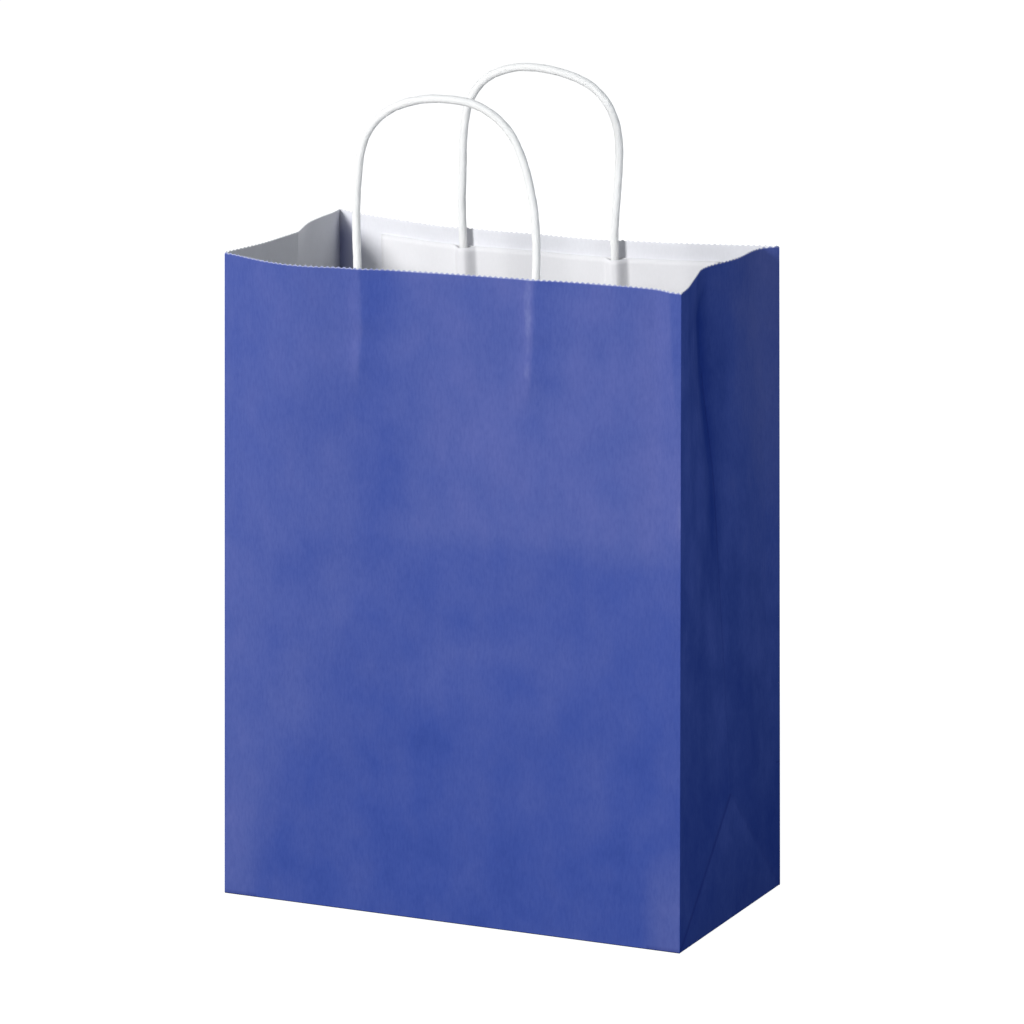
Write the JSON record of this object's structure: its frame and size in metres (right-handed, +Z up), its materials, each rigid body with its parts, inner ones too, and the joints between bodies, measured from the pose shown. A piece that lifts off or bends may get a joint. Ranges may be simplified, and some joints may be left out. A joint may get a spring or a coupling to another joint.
{
  "type": "kraft paper carrier bag",
  "caption": "Paper carrier bag standing open: folded sheet with block bottom, tucked side gussets and pinked rim, and twisted-paper loop handles glued between strips.",
  "frame": {"origin": "middle of the base, on the underside of the lowest flap of the block bottom", "axes": "+Z up towards the open mouth; -Y towards the front panel; X along the wide panels"},
  "size_m": [0.25, 0.1423, 0.4184],
  "materials": {
    "blue_kraft": "matte kraft paper, blue outside and white inside",
    "white_strip": "matte white kraft paper",
    "white_cord": "tightly twisted white paper cord"
  },
  "bodies": {
    "root": {"bag_body": "blue_kraft", "front_backing_strip": "white_strip", "front_cover_strip": "white_strip", "front_handle": "white_cord", "back_backing_strip": "white_strip", "back_cover_strip": "white_strip", "back_handle": "white_cord"}
  },
  "joints": []
}
